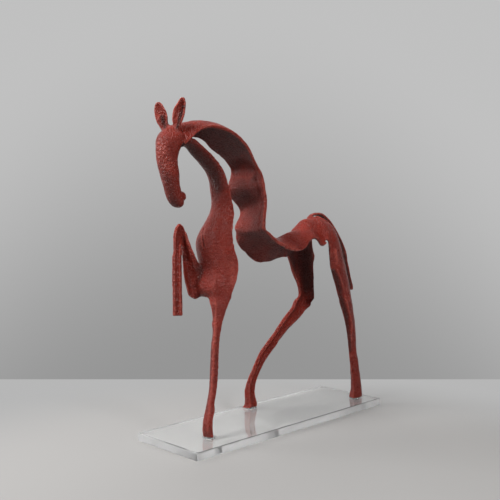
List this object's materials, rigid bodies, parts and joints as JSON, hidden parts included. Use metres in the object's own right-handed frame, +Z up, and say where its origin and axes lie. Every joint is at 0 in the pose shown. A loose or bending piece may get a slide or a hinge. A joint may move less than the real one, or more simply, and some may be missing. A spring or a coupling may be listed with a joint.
{
  "type": "standing horse ornament",
  "caption": "Stylised horse of bowed, lacquered metal sheet, stepping out with one foreleg raised, its feet screwed from below to a clear rectangular plate; a shelf ornament.",
  "frame": {"origin": "centre of the clear plate's underside, where the ornament rests on a shelf", "axes": "+Z up, X along the plate's length with the horse facing -X, -Y on the horse's left side"},
  "size_m": [0.3623, 0.11, 0.408],
  "materials": {
    "red_lacquer": "satin dark red lacquer over a fine hammered grain",
    "clear_plate": "clear cast acrylic with polished edges",
    "clear_pad": "soft clear plastic",
    "steel": "plain stainless steel"
  },
  "bodies": {
    "root": {"base_plate": "clear_plate", "foot_pads": "clear_pad", "foot_washers": "steel", "foot_screws": "steel", "head": "red_lacquer", "left_ear": "red_lacquer", "right_ear": "red_lacquer", "mane_ribbon": "red_lacquer", "back_sheet": "red_lacquer", "throat_breast": "red_lacquer", "left_foreleg": "red_lacquer", "right_forearm": "red_lacquer", "right_cannon": "red_lacquer", "left_thigh": "red_lacquer", "left_shank": "red_lacquer", "right_thigh": "red_lacquer", "right_shank": "red_lacquer", "tail": "red_lacquer"}
  },
  "joints": []
}
